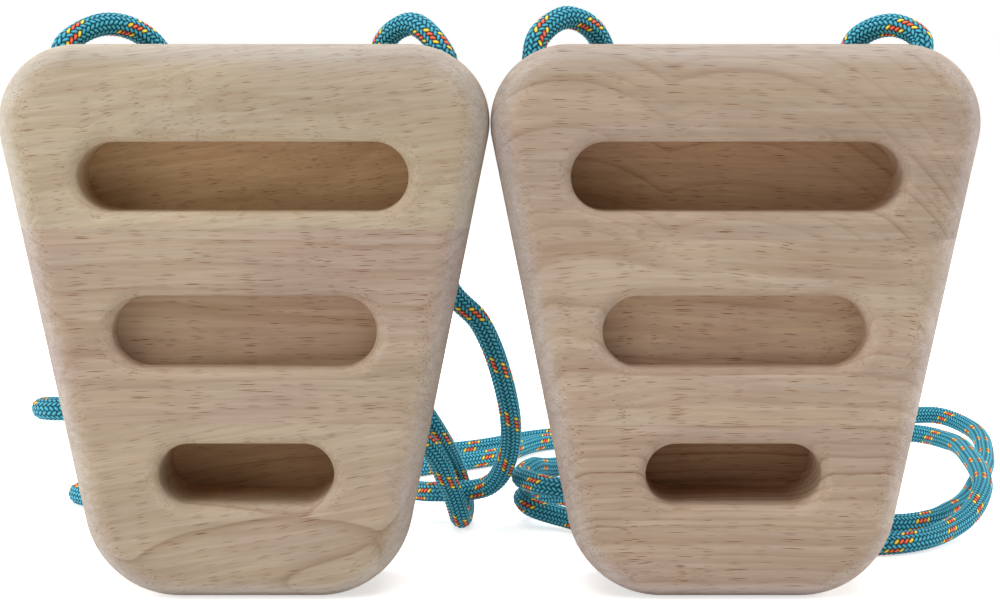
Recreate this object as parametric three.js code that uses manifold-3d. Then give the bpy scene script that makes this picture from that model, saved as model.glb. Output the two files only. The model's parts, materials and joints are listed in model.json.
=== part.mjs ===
// A pair of portable hangboards: two tapered wooden blocks with finger pockets, each hung on its own cord.
// Millimetres, +X right, +Y away from the viewer, +Z up. The origin is on the ground under the middle of the pair.
import * as THREE from 'three';
import { mergeVertices } from 'three/addons/utils/BufferGeometryUtils.js';
import Module from 'manifold-3d';

const wasm = await Module();
wasm.setup();

// One board
const boardWidth = 162;
const boardHeight = 185;
const boardThickness = 50;
const footWidth = 99.2; // between the two straight sides, drawn on down to the ground
const topCornerRadius = 26;
const bottomCornerRadius = 32;
const frontRounding = 11;
const backRounding = 3.5;
const boardGap = 0.4; // between the two boards at their widest points

// Finger pockets, wall to wall: for four fingers, three and two, from the top down
const fourFingerLength = 109;
const fourFingerHeight = 23;
const fourFingerDepth = 24;
const fourFingerMiddle = 141.5; // above the ground
const threeFingerLength = 87.5;
const threeFingerHeight = 24;
const threeFingerDepth = 13;
const threeFingerMiddle = 90.2;
const twoFingerLength = 58.5;
const twoFingerHeight = 20.5;
const twoFingerDepth = 36;
const twoFingerMiddle = 42.5;
const mouthRounding = 5;

// Heights of the glue lines between each board's three strips
const leftLowGlueLine = 60;
const leftHighGlueLine = 124.5;
const rightLowGlueLine = 59.5;
const rightHighGlueLine = 121;

// Cord and its two holes through the top edge
const cordDiameter = 8;
const holeClearance = 1; // all round the cord
const holeInset = 14.6; // from the board's widest point to the hole's axis
const holeFromBack = 12; // from the back face to the hole's axis
const holeMouthRounding = 5;
const groundClearance = 0.15; // under a cord that lies on the ground

// Stopper knots at the cord's ends, and the recesses in the back that hold them
const knotLength = 20;
const knotDiameter = 18.6;
const knotDrop = 25.6; // from the top edge to the knot's middle
const knotSeatGap = 0.3;
const recessFloorRoom = 2.5; // in front of the knot
const recessEdgeBreak = 0.7;

// How finely round shapes are faceted, and how far a cut runs past the wood
const cornerSteps = 9;
const frontSteps = 6;
const backSteps = 3;
const pocketEndSteps = 10;
const mouthSteps = 4;
const holeSides = 20;
const recessSides = 28;
const knotSides = 14;
const knotSteps = 4;
const cordSides = 8;
const cordSteps = 80;
const cordSamples = 3000;
const overrun = 5;

const halfWidth = boardWidth / 2;
const boardBack = boardThickness / 2;
const boardFront = -boardBack;
const boardCentre = halfWidth + boardGap / 2;
const cordRadius = cordDiameter / 2;
const holeRadius = cordRadius + holeClearance;
const holeOffset = halfWidth - holeInset;
const holeY = boardBack - holeFromBack;
const knotHeight = boardHeight - knotDrop;
const recessRadius = knotLength / 2 + knotSeatGap;
const recessDepth = holeFromBack + knotDiameter / 2 + recessFloorRoom;

const pockets = [
  { length: fourFingerLength, height: fourFingerHeight, depth: fourFingerDepth, middle: fourFingerMiddle },
  { length: threeFingerLength, height: threeFingerHeight, depth: threeFingerDepth, middle: threeFingerMiddle },
  { length: twoFingerLength, height: twoFingerHeight, depth: twoFingerDepth, middle: twoFingerMiddle },
];
const glueLines = {
  left: [leftLowGlueLine, leftHighGlueLine],
  right: [rightLowGlueLine, rightHighGlueLine],
};

// The cords' centre lines, from knot to knot: points chosen by hand along the way each cord lies
const leftRoute = [
  [-147.4, 13, 168.3], [-147.4, 13, 179.8], [-145.2, 14.1, 186], [-133.6, 22.5, 192.6], [-120.8, 31, 188.4],
  [-102, 46, 155], [-23.7, 92, 42.4], [-13.4, 112.5, 17.5], [-10.9, 110, 7], [-11, 99.5, 4.3],
  [-11.9, 90, 5], [-16.2, 76, 21], [-28, 59, 42], [-90, 34, 56], [-157, 36, 55.5],
  [-163.2, 46, 54.5], [-157, 56.5, 52.5], [-90, 74, 22], [-84, 106, 6.5], [-162, 131, 4.5],
  [-171, 144, 4.3], [-160, 157, 4.3], [-8.2, 251, 4.3], [19, 278, 4.3], [60, 301, 4.3],
  [86, 301, 4.3], [88, 278, 4.3], [27.5, 270.5, 4.3], [0.2, 228, 4.3], [-45, 185, 4.6],
  [-24, 107, 11.8], [-1, 95.3, 16.6], [7.2, 77, 35.6], [5.2, 61, 59.7], [-3.8, 49, 85.4],
  [-15.5, 43.5, 99.5], [-38.6, 31.5, 183], [-27, 21.5, 192.7], [-15.2, 13, 180.5], [-15.1, 13, 168.3],
];
const rightRoute = [
  [14.8, 13, 168.3], [14.8, 13, 179.5], [16.6, 15, 188], [26.3, 22.5, 194.9], [37.2, 30.5, 189.5],
  [46, 42, 155], [64, 96, 80], [100, 185, 32], [180, 268, 16], [213.3, 280, 15],
  [224.6, 262, 11.7], [218.3, 205, 8.8], [204.5, 158, 6.4], [183.2, 107, 4.7], [157, 80, 4.3],
  [26, 74, 19.6], [15.5, 85, 20], [11.8, 96, 19.9], [16, 109, 21], [25, 132, 17],
  [140, 215, 14], [188, 226, 15.6], [201.4, 205, 15.6], [200.6, 158, 16.8], [192, 98, 13.4],
  [178, 72.5, 6.5], [149.6, 46.5, 4.3], [60, 62, 4.3], [27.5, 91, 5], [15.5, 99.5, 7.4],
  [12.8, 109, 9.4], [22, 121, 8], [42, 135, 5], [96, 110, 40], [124, 34, 155],
  [127.8, 31, 186.5], [138.8, 22.3, 192.3], [147.8, 15.2, 187.4], [147.7, 12.9, 180.2], [147.7, 13, 168.3],
];

// Each side's board place, route and the way from the board's centre to its outer edge
const sides = {
  left: { centre: -boardCentre, route: leftRoute, outward: -1 },
  right: { centre: boardCentre, route: rightRoute, outward: 1 },
};

// Rubberwood, a tone for each strip from the top down, and the cord's turquoise
const woodTones = {
  left: [0xb4a38b, 0xb09d88, 0xb5a38b],
  right: [0xac9784, 0xb09b87, 0xab9682],
};
const cordColour = 0x2f8fa6;

// Turns a closed geometry into a solid that can be cut
function solidOf(geometry) {
  geometry.deleteAttribute('normal');
  geometry.deleteAttribute('uv');
  const merged = mergeVertices(geometry);
  return new wasm.Manifold(new wasm.Mesh({
    numProp: 3,
    vertProperties: new Float32Array(merged.attributes.position.array),
    triVerts: new Uint32Array(merged.index.array),
  }));
}

// Turns a solid back into a geometry
function geometryOf(solid) {
  const { vertProperties, triVerts } = solid.getMesh();
  const geometry = new THREE.BufferGeometry();
  geometry.setAttribute('position', new THREE.Float32BufferAttribute(vertProperties, 3));
  geometry.setIndex(new THREE.BufferAttribute(new Uint32Array(triVerts), 1));
  geometry.computeVertexNormals();
  return geometry;
}

// Points of an arc from one angle to another, both ends included
function arc(centreX, centreZ, radius, from, to, steps) {
  const points = [];
  for (let step = 0; step <= steps; step++) {
    const angle = from + (to - from) * step / steps;
    points.push([centreX + radius * Math.cos(angle), centreZ + radius * Math.sin(angle)]);
  }
  return points;
}

// Adds the mirror image of a right half outline, so that the whole runs counter-clockwise
function withLeftHalf(rightHalf) {
  const leftHalf = rightHalf.map(([x, z]) => [-x, z]).reverse();
  return [...rightHalf, ...leftHalf];
}

// Skins a stack of rings that have equally many [x, z] points, each ring at its own y, from front to back,
// and closes the first and the last with flat caps
function stackedRings(rings) {
  const count = rings[0].points.length;
  const positions = rings.flatMap(({ y, points }) => points.flatMap(([x, z]) => [x, y, z]));
  const index = [];
  for (let ring = 0; ring + 1 < rings.length; ring++) {
    for (let i = 0; i < count; i++) {
      const a = ring * count + i;
      const b = ring * count + (i + 1) % count;
      index.push(a, a + count, b, b, a + count, b + count);
    }
  }
  const cap = THREE.ShapeUtils.triangulateShape(rings[0].points.map(([x, z]) => new THREE.Vector2(x, z)), []);
  const last = (rings.length - 1) * count;
  for (const [a, b, c] of cap) {
    index.push(a, b, c);
    index.push(last + a, last + c, last + b);
  }
  const geometry = new THREE.BufferGeometry();
  geometry.setAttribute('position', new THREE.Float32BufferAttribute(positions, 3));
  geometry.setIndex(index);
  return geometry;
}

// The board's sides are straight lines from the foot's half width up to the top corner's arc, which they touch.
// Such a line x = foot + slope * z solves foot + slope * z0 - x0 = radius * sqrt(1 + slope^2) at the arc's centre.
const topCornerX = halfWidth - topCornerRadius;
const topCornerZ = boardHeight - topCornerRadius;
const overhang = topCornerX - footWidth / 2;
const reach = Math.hypot(topCornerZ, overhang);
const sideSlope = (overhang * topCornerZ + topCornerRadius * Math.sqrt(reach ** 2 - topCornerRadius ** 2))
  / (topCornerZ ** 2 - topCornerRadius ** 2);
const sideLean = Math.atan(sideSlope);
const bottomCornerX = footWidth / 2 + sideSlope * bottomCornerRadius - bottomCornerRadius / Math.cos(sideLean);

// The board's outline from the front, drawn in by an inset all round
function boardOutline(inset) {
  const bottom = arc(
    bottomCornerX, bottomCornerRadius, bottomCornerRadius - inset, -Math.PI / 2, -sideLean, cornerSteps,
  );
  const top = arc(topCornerX, topCornerZ, topCornerRadius - inset, -sideLean, Math.PI / 2, cornerSteps);
  return withLeftHalf([...bottom, ...top]);
}

// The whole block before its cuts: rounded over all round at the front, eased at the back
function boardBlock() {
  const rings = [];
  for (let step = 0; step <= frontSteps; step++) {
    const angle = (Math.PI / 2) * step / frontSteps;
    rings.push({
      y: boardFront + frontRounding * (1 - Math.cos(angle)),
      points: boardOutline(frontRounding * (1 - Math.sin(angle))),
    });
  }
  for (let step = 0; step <= backSteps; step++) {
    const angle = (Math.PI / 2) * step / backSteps;
    rings.push({
      y: boardBack - backRounding * (1 - Math.sin(angle)),
      points: boardOutline(backRounding * (1 - Math.cos(angle))),
    });
  }
  return solidOf(stackedRings(rings));
}

// A pocket's outline from the front, a bar with half-round ends, let out by a margin all round
function pocketOutline({ length, height, middle }, margin) {
  const radius = height / 2;
  return withLeftHalf(
    arc(length / 2 - radius, middle, radius + margin, -Math.PI / 2, Math.PI / 2, pocketEndSteps),
  );
}

// What the router takes out for a pocket: straight walls and a flat floor, with the mouth rounded over
function pocketCut(pocket) {
  const rings = [{ y: boardFront - overrun, points: pocketOutline(pocket, mouthRounding) }];
  for (let step = 0; step <= mouthSteps; step++) {
    const angle = (Math.PI / 2) * step / mouthSteps;
    rings.push({
      y: boardFront + mouthRounding * (1 - Math.cos(angle)),
      points: pocketOutline(pocket, mouthRounding * (1 - Math.sin(angle))),
    });
  }
  rings.push({ y: boardFront + pocket.depth, points: pocketOutline(pocket, 0) });
  return solidOf(stackedRings(rings));
}

// A turned shape on a vertical axis over x, y. The profile of [radius, height] points runs up from axis to axis.
function turned(profile, turnedSides, x, y) {
  const points = profile.map(([radius, height]) => new THREE.Vector2(radius, height));
  const geometry = new THREE.LatheGeometry(points, turnedSides);
  geometry.rotateX(Math.PI / 2);
  geometry.translate(x, y, 0);
  return geometry;
}

// The hole for a cord, from the middle of the knot's recess up through the top edge.
// Its mouth rounds over to 45 degrees, where the edge's corner arc has dropped to at that place.
function cordHoleCut(x) {
  const past = Math.max(0, Math.abs(x) - topCornerX);
  const mouthHeight = topCornerZ + Math.sqrt(topCornerRadius ** 2 - past ** 2);
  const curve = arc(
    holeRadius + holeMouthRounding, mouthHeight - holeMouthRounding, holeMouthRounding,
    Math.PI, Math.PI * 0.75, mouthSteps,
  );
  const [curveRadius, curveHeight] = curve[mouthSteps];
  const rise = mouthHeight + holeMouthRounding + overrun - curveHeight;
  const profile = [
    [0, knotHeight],
    [holeRadius, knotHeight],
    ...curve,
    [curveRadius + rise, curveHeight + rise],
    [0, curveHeight + rise],
  ];
  return solidOf(turned(profile, holeSides, x, holeY));
}

// The round recess in the back face for a stopper knot, with its edge broken
function knotRecessCut(x) {
  const profile = [
    [0, -recessDepth],
    [recessRadius, -recessDepth],
    [recessRadius, -recessEdgeBreak],
    [recessRadius + recessEdgeBreak + overrun, overrun],
    [0, overrun],
  ];
  const points = profile.map(([radius, depth]) => new THREE.Vector2(radius, depth));
  const geometry = new THREE.LatheGeometry(points, recessSides);
  geometry.translate(x, boardBack, knotHeight);
  return solidOf(geometry);
}

// All the space between two heights, as wide and deep as a board
function slab(low, high) {
  const geometry = new THREE.BoxGeometry(boardWidth + overrun, boardThickness + overrun, high - low);
  geometry.translate(0, 0, (low + high) / 2);
  return solidOf(geometry);
}

// One board: the block with its cuts, divided at the glue lines into the three strips it is made of
function board(side, centre) {
  let block = boardBlock();
  for (const pocket of pockets) block = block.subtract(pocketCut(pocket));
  for (const x of [-holeOffset, holeOffset]) {
    block = block.subtract(cordHoleCut(x));
    block = block.subtract(knotRecessCut(x));
  }
  const [lowLine, highLine] = glueLines[side];
  const strips = [
    { place: 'upper', low: highLine, high: boardHeight + overrun },
    { place: 'middle', low: lowLine, high: highLine },
    { place: 'lower', low: -overrun, high: lowLine },
  ];
  const group = new THREE.Group();
  strips.forEach(({ place, low, high }, order) => {
    const material = new THREE.MeshStandardMaterial({ color: woodTones[side][order], roughness: 0.6, metalness: 0 });
    const strip = new THREE.Mesh(geometryOf(block.intersect(slab(low, high))), material);
    strip.name = `${side}_board_${place}_strip`;
    group.add(strip);
  });
  group.position.x = centre;
  return group;
}

// A cord's centre line: a smooth curve through its route that doesn't dip into the ground.
// It is divided finely where it bends and coarsely where it runs straight.
class CordLine extends THREE.CatmullRomCurve3 {
  constructor(route) {
    super(route.map(([x, y, z]) => new THREE.Vector3(x, y, z)), false, 'centripetal');
    this.effort = this.addUpEffort();
  }

  getPoint(t, target = new THREE.Vector3()) {
    const point = super.getPoint(t, target);
    point.z = Math.max(point.z, cordRadius + groundClearance);
    return point;
  }

  // Running total, along many samples, of length plus two diameters for each radian of turning
  addUpEffort() {
    const totals = [0];
    const heading = this.getPoint(1 / cordSamples).sub(this.getPoint(0));
    for (let i = 1; i <= cordSamples; i++) {
      const move = this.getPoint(i / cordSamples).sub(this.getPoint((i - 1) / cordSamples));
      totals.push(totals[i - 1] + move.length() + 2 * cordDiameter * heading.angleTo(move));
      heading.copy(move);
    }
    return totals;
  }

  getUtoTmapping(u) {
    const wanted = u * this.effort[cordSamples];
    const next = Math.max(1, this.effort.findIndex((total) => total >= wanted));
    const share = (wanted - this.effort[next - 1]) / (this.effort[next] - this.effort[next - 1]);
    return (next - 1 + share) / cordSamples;
  }
}

// The cord as a plain tube along its route
function cord(side, route) {
  const corners = arc(0, 0, cordRadius, 0, 2 * Math.PI, cordSides).slice(1);
  const section = new THREE.Shape(corners.map(([x, y]) => new THREE.Vector2(x, y)));
  const geometry = new THREE.ExtrudeGeometry(section, {
    steps: cordSteps,
    extrudePath: new CordLine(route),
    bevelEnabled: false,
  });
  const mesh = new THREE.Mesh(geometry, new THREE.MeshStandardMaterial({ color: cordColour, roughness: 0.8 }));
  mesh.name = `${side}_cord`;
  return mesh;
}

// A stopper knot: a ball turned down to the knot's girth, flat on top as wide as the cord's hole.
// The ball's radius is the recess's less the seat gap, so the knot bears on the recess's upper wall.
function stopperKnot(name, x) {
  const ball = knotLength / 2;
  const girthAngle = Math.acos(knotDiameter / knotLength);
  const topAngle = Math.acos(holeRadius / ball);
  const profile = [
    [0, knotHeight - ball],
    ...arc(0, knotHeight, ball, -Math.PI / 2, -girthAngle, knotSteps).slice(1),
    ...arc(0, knotHeight, ball, girthAngle, topAngle, knotSteps),
    [0, knotHeight + ball * Math.sin(topAngle)],
  ];
  const material = new THREE.MeshStandardMaterial({ color: cordColour, roughness: 0.8 });
  const mesh = new THREE.Mesh(turned(profile, knotSides, x, holeY), material);
  mesh.name = name;
  return mesh;
}

const hangboardPair = new THREE.Group();
for (const [side, { centre, route, outward }] of Object.entries(sides)) {
  hangboardPair.add(board(side, centre));
  hangboardPair.add(cord(side, route));
  hangboardPair.add(stopperKnot(`${side}_cord_outer_knot`, centre + outward * holeOffset));
  hangboardPair.add(stopperKnot(`${side}_cord_inner_knot`, centre - outward * holeOffset));
}

export default hangboardPair;
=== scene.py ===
# %% [markdown]
# # A pair of portable hangboards
# A portable hangboard is a small block of wood that a climber hangs from a branch or a bar on a loop of cord,
# to warm up or train the fingers. It is tapered like a tooth, rounded all over so that it doesn't hurt the
# skin, and it has three pockets: for four fingers, for three, and a deep one for two. This notebook dresses
# two of them, standing side by side with their cords lying loose behind.
#
# The rigid shapes come packed as a frame. Everything here is put where the frame says, in metres, with X to
# the right, Y away from the viewer and Z up.

# %% Blender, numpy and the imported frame
import json
import math
import bpy
import numpy as np
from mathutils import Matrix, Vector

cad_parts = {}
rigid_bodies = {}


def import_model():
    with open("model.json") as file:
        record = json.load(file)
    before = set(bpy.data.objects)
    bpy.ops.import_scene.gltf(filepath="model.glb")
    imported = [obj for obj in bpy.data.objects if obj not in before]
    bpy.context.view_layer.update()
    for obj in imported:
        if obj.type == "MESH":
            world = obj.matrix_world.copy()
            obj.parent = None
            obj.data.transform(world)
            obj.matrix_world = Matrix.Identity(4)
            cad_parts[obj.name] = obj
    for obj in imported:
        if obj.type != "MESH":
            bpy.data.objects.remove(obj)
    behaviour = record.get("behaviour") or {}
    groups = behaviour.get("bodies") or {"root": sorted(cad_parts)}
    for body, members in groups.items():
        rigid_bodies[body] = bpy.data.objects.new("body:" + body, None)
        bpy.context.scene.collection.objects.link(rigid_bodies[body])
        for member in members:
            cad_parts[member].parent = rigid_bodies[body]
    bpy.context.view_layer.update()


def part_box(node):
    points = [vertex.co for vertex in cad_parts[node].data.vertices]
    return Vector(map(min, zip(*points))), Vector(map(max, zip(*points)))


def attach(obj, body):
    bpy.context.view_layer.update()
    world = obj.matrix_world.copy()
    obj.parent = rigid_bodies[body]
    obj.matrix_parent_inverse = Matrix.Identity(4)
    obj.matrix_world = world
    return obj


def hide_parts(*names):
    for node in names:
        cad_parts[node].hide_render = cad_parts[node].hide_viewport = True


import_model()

# %% [markdown]
# ## The camera
# It stands 0.7 m in front of the boards, a little below their top edge, and looks down by a few degrees, so
# that both boards narrow slightly towards the ground. A lens of about 75 mm is close to what a product
# photographer would choose: the boards fill the picture and their sides stay nearly straight.

# %% The camera
camera_data = bpy.data.cameras.new("camera")
camera_data.sensor_width = 36
camera_data.lens = 74.88
camera = bpy.data.objects.new("camera", camera_data)
camera.location = (0.0034, -0.705, 0.1695)
camera.rotation_euler = (math.radians(84.2), 0, 0)
scene_objects = bpy.context.scene.collection.objects
scene_objects.link(camera)
bpy.context.scene.camera = camera
print("The camera looks down by", round(90 - math.degrees(camera.rotation_euler.x), 1), "degrees.")

# %% [markdown]
# ## The way each cord lies
# Each board hangs on about 1.7 m of 8 mm accessory cord, a limp braid. It comes up out of a hole near one top
# corner, bends over the back edge, wanders over the ground in a few loops and comes back to the other corner.
# Blender could drape it with a simulation, but the photograph shows where it lies, so it is drawn: a few
# dozen given points, and one smooth line through them. The line is a centripetal Catmull-Rom curve, which
# passes through every point and makes no loops of its own where points lie close together.

# %% Points along the two cords
left_route = [
    (-0.1474, 0.013, 0.1683), (-0.1474, 0.013, 0.1798), (-0.1452, 0.0141, 0.186),
    (-0.1336, 0.0225, 0.1926), (-0.1208, 0.031, 0.1884), (-0.102, 0.046, 0.155),
    (-0.0237, 0.092, 0.0424), (-0.0134, 0.1125, 0.0175), (-0.0109, 0.11, 0.007),
    (-0.011, 0.0995, 0.0043), (-0.0119, 0.09, 0.005), (-0.0162, 0.076, 0.021),
    (-0.028, 0.059, 0.042), (-0.09, 0.034, 0.056), (-0.157, 0.036, 0.0555),
    (-0.1632, 0.046, 0.0545), (-0.157, 0.0565, 0.0525), (-0.09, 0.074, 0.022),
    (-0.084, 0.106, 0.0065), (-0.162, 0.131, 0.0045), (-0.171, 0.144, 0.0043),
    (-0.16, 0.157, 0.0043), (-0.0082, 0.251, 0.0043), (0.019, 0.278, 0.0043),
    (0.06, 0.301, 0.0043), (0.086, 0.301, 0.0043), (0.088, 0.278, 0.0043),
    (0.0275, 0.2705, 0.0043), (0.0002, 0.228, 0.0043), (-0.045, 0.185, 0.0046),
    (-0.024, 0.107, 0.0118), (-0.001, 0.0953, 0.0166), (0.0072, 0.077, 0.0356),
    (0.0052, 0.061, 0.0597), (-0.0038, 0.049, 0.0854), (-0.0155, 0.0435, 0.0995),
    (-0.0386, 0.0315, 0.183), (-0.027, 0.0215, 0.1927), (-0.0152, 0.013, 0.1805),
    (-0.0151, 0.013, 0.1683),
]
right_route = [
    (0.0148, 0.013, 0.1683), (0.0148, 0.013, 0.1795), (0.0166, 0.015, 0.188),
    (0.0263, 0.0225, 0.1949), (0.0372, 0.0305, 0.1895), (0.046, 0.042, 0.155),
    (0.064, 0.096, 0.08), (0.1, 0.185, 0.032), (0.18, 0.268, 0.016),
    (0.2133, 0.28, 0.015), (0.2246, 0.262, 0.0117), (0.2183, 0.205, 0.0088),
    (0.2045, 0.158, 0.0064), (0.1832, 0.107, 0.0047), (0.157, 0.08, 0.0043),
    (0.026, 0.074, 0.0196), (0.0155, 0.085, 0.02), (0.0118, 0.096, 0.0199),
    (0.016, 0.109, 0.021), (0.025, 0.132, 0.017), (0.14, 0.215, 0.014),
    (0.188, 0.226, 0.0156), (0.2014, 0.205, 0.0156), (0.2006, 0.158, 0.0168),
    (0.192, 0.098, 0.0134), (0.178, 0.0725, 0.0065), (0.1496, 0.0465, 0.0043),
    (0.06, 0.062, 0.0043), (0.0275, 0.091, 0.005), (0.0155, 0.0995, 0.0074),
    (0.0128, 0.109, 0.0094), (0.022, 0.121, 0.008), (0.042, 0.135, 0.005),
    (0.096, 0.11, 0.04), (0.124, 0.034, 0.155), (0.1278, 0.031, 0.1865),
    (0.1388, 0.0223, 0.1923), (0.1478, 0.0152, 0.1874), (0.1477, 0.0129, 0.1802),
    (0.1477, 0.013, 0.1683),
]
cord_diameter = 0.008
lift_off_the_ground = 0.00015
lowest_middle = cord_diameter / 2 + lift_off_the_ground
braid_columns = 14
tube_sides = 2 * braid_columns
print("The left cord has", len(left_route), "points and the right one", len(right_route))


# %% A smooth line through a route
steps_between_points = 200


def smooth_line(route, spacing):
    """Equally spaced points on a smooth line through a route, and the line's length.

    Between two neighbours runs a cubic: start + leave t + b t^2 + c t^3. Its slope at either end weighs the
    ways to the points around by one over the square root of their length. The line stays off the ground.
    """
    points = np.array(route)
    padded = np.vstack([2 * points[0] - points[1], points, 2 * points[-1] - points[-2]])
    before, start, stop, after = padded[:-3], padded[1:-2], padded[2:-1], padded[3:]
    near = np.sqrt(np.linalg.norm(start - before, axis=1))[:, None]
    here = np.sqrt(np.linalg.norm(stop - start, axis=1))[:, None]
    far = np.sqrt(np.linalg.norm(after - stop, axis=1))[:, None]
    leave = ((start - before) / near - (stop - before) / (near + here) + (stop - start) / here) * here
    arrive = ((stop - start) / here - (after - start) / (here + far) + (after - stop) / far) * here
    t = np.linspace(0, 1, steps_between_points, endpoint=False)[:, None, None]
    square = 3 * (stop - start) - 2 * leave - arrive
    cube = 2 * (start - stop) + leave + arrive
    curve = start + leave * t + square * t ** 2 + cube * t ** 3
    curve = np.vstack([curve.transpose(1, 0, 2).reshape(-1, 3), points[-1:]])
    curve[:, 2] = np.maximum(curve[:, 2], lowest_middle)
    travelled = np.concatenate([[0], np.cumsum(np.linalg.norm(np.diff(curve, axis=0), axis=1))])
    stops = np.linspace(0, travelled[-1], round(travelled[-1] / spacing) + 1)
    even = np.stack([np.interp(stops, travelled, curve[:, axis]) for axis in range(3)], axis=1)
    return even, travelled[-1]


ring_spacing = math.pi * cord_diameter / tube_sides
left_line, left_length = smooth_line(left_route, ring_spacing)
right_line, right_length = smooth_line(right_route, ring_spacing)
print(f"The left cord runs {left_length:.3f} m, the right one {right_length:.3f} m")

# %% [markdown]
# ## Skins over rings of points
# The cords, the blocks and the tools that cut them are all made in one way: rings with the same number of
# points each, and four-cornered faces between one ring and the next.


# %% Two helpers for meshes
def skin(ring_count, size):
    """The numbers ring and place of all points in rings of a size, and the faces between the rings.

    Point number ring * size + place shares a face with the next point round its ring and the two after them.
    """
    ring, place = np.meshgrid(np.arange(ring_count), np.arange(size), indexing="ij")
    here = ring * size + place
    beside = ring * size + (place + 1) % size
    faces = np.stack([here, beside, beside + size, here + size], axis=-1)[:-1].reshape(-1, 4)
    return ring, place, faces


def new_piece(name, points, faces):
    """An object at the origin, whose place is in its mesh, made of points (..., 3) and faces."""
    mesh = bpy.data.meshes.new(name)
    mesh.from_pydata(np.reshape(points, (-1, 3)).tolist(), [], faces)
    return bpy.data.objects.new(name, mesh)


print("Three rings of four points have", len(skin(3, 4)[2]), "faces")

# %% [markdown]
# ## From a line to a tube
# A tube is a circle carried along a line. The only question is how the circle turns on the way: if it follows
# the line's own bends too eagerly, the braid on it twists up at every corner. So the circle is turned from
# each step to the next by the smallest rotation that follows the line's direction. All these rotations are
# multiplied together by doubling: first in pairs, then in fours, eights and so on.

# %% A direction carried along a line
seam_direction = [0.0, 1.0, 0.3]


def carried_sides(directions):
    """For each step a direction across the line, carried along without twisting.

    The smallest rotation from direction a to b is I + K + K K / (1 + a.b), where K is the matrix of a x b.
    """
    a, b = directions[:-1], directions[1:]
    axis = np.cross(a, b)
    nothing = np.zeros(len(a))
    crossing = np.stack([
        np.stack([nothing, -axis[:, 2], axis[:, 1]], axis=1),
        np.stack([axis[:, 2], nothing, -axis[:, 0]], axis=1),
        np.stack([-axis[:, 1], axis[:, 0], nothing], axis=1),
    ], axis=1)
    cosine = np.sum(a * b, axis=1)[:, None, None]
    turns = np.concatenate([np.eye(3)[None], np.eye(3) + crossing + crossing @ crossing / (1 + cosine)])
    reach = 1
    while reach < len(turns):
        turns[reach:] = turns[reach:] @ turns[:-reach]
        reach *= 2
    first = np.cross(directions[0], seam_direction)
    return turns @ (first / np.linalg.norm(first))


quarter_bend = np.array([[0.0, 0.0, 1.0], [0.0, 0.6, 0.8], [0.0, 1.0, 0.0]])
print("Round a quarter bend a side turns to", np.round(carried_sides(quarter_bend)[-1], 2))

# %% [markdown]
# A braided cord isn't smooth. Its strands come up as small knobs, which stand in columns, 14 round this cord,
# and are offset by half a knob from one column to the next. The tube has two points for each column and two
# rings for each knob, just enough to raise every knob in the mesh itself.

# %% A knobbly tube
knob_middle, knob_end, furrow = 1.03, 0.975, 0.95


def tube(name, line, diameter):
    """A closed tube round a line, knobbly as a braid is.

    A point is line + radius (cos(angle) side + sin(angle) up), and the radius is diameter / 2 times the share
    for a knob's middle, for its end, or for the furrow between two columns. The rings should lie as far apart
    as their points do. Then the UV map counts both alike, by (number + 1/2) / points in a ring, and a pattern
    keeps its proportions.
    """
    directions = np.gradient(line, axis=0)
    directions /= np.linalg.norm(directions, axis=1)[:, None]
    side = carried_sides(directions)
    up = np.cross(directions, side)
    angle = np.linspace(0, 2 * math.pi, tube_sides, endpoint=False)[None, :, None]
    ring, place, faces = skin(len(line), tube_sides)
    on_column = np.where((place // 2 + ring) % 2 == 1, knob_middle, knob_end)
    swelling = np.where(place % 2 == 1, on_column, furrow)
    reach = np.broadcast_to(diameter, len(line))[:, None, None] / 2 * swelling[..., None]
    points = line[:, None] + reach * (np.cos(angle) * side[:, None] + np.sin(angle) * up[:, None])
    first_ring = list(range(tube_sides))
    last_ring = [(len(line) - 1) * tube_sides + i for i in first_ring]
    piece = new_piece(name, points, faces.tolist() + [first_ring[::-1], last_ring])
    ring, place = ring[:-1], place[:-1]
    u = np.stack([place, place + 1, place + 1, place], axis=-1)
    v = np.stack([ring, ring, ring + 1, ring + 1], axis=-1)
    on_quads = (np.stack([u, v], axis=-1).reshape(-1, 2) + 0.5) / tube_sides
    on_caps = np.zeros((2 * tube_sides, 2))
    layer = piece.data.uv_layers.new(name="braid")
    layer.data.foreach_set("uv", np.concatenate([on_quads, on_caps]).ravel())
    piece.data.shade_smooth()
    scene_objects.link(piece)
    return piece


left_cord = tube("left_braided_cord", left_line, cord_diameter)
right_cord = tube("right_braided_cord", right_line, cord_diameter)
print("The left cord's mesh has", len(left_cord.data.polygons), "faces, the right one's",
      len(right_cord.data.polygons))

# %% [markdown]
# ## The stopper knots
# Both ends of a cord run down their hole into a round recess in the board's back, where a knot stops them. A
# stopper knot is mostly turns: the end doubles back at the bottom and is wound upwards round its own standing
# part. So the knot is made as the real one is, of cord: down the hole, round the bend and two turns up.
# Pulled tight, the cord in it is thinner than the free cord.

# %% A knot's route
knot_cord_diameter = 0.0061
knot_bottom = 0.1525
coil_bottom = knot_bottom + 0.0002
knot_taper = 0.006
knot_turns = 2
outer_hole_x = 0.1476
inner_hole_x = 0.0148
hole_y = 0.013


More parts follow.
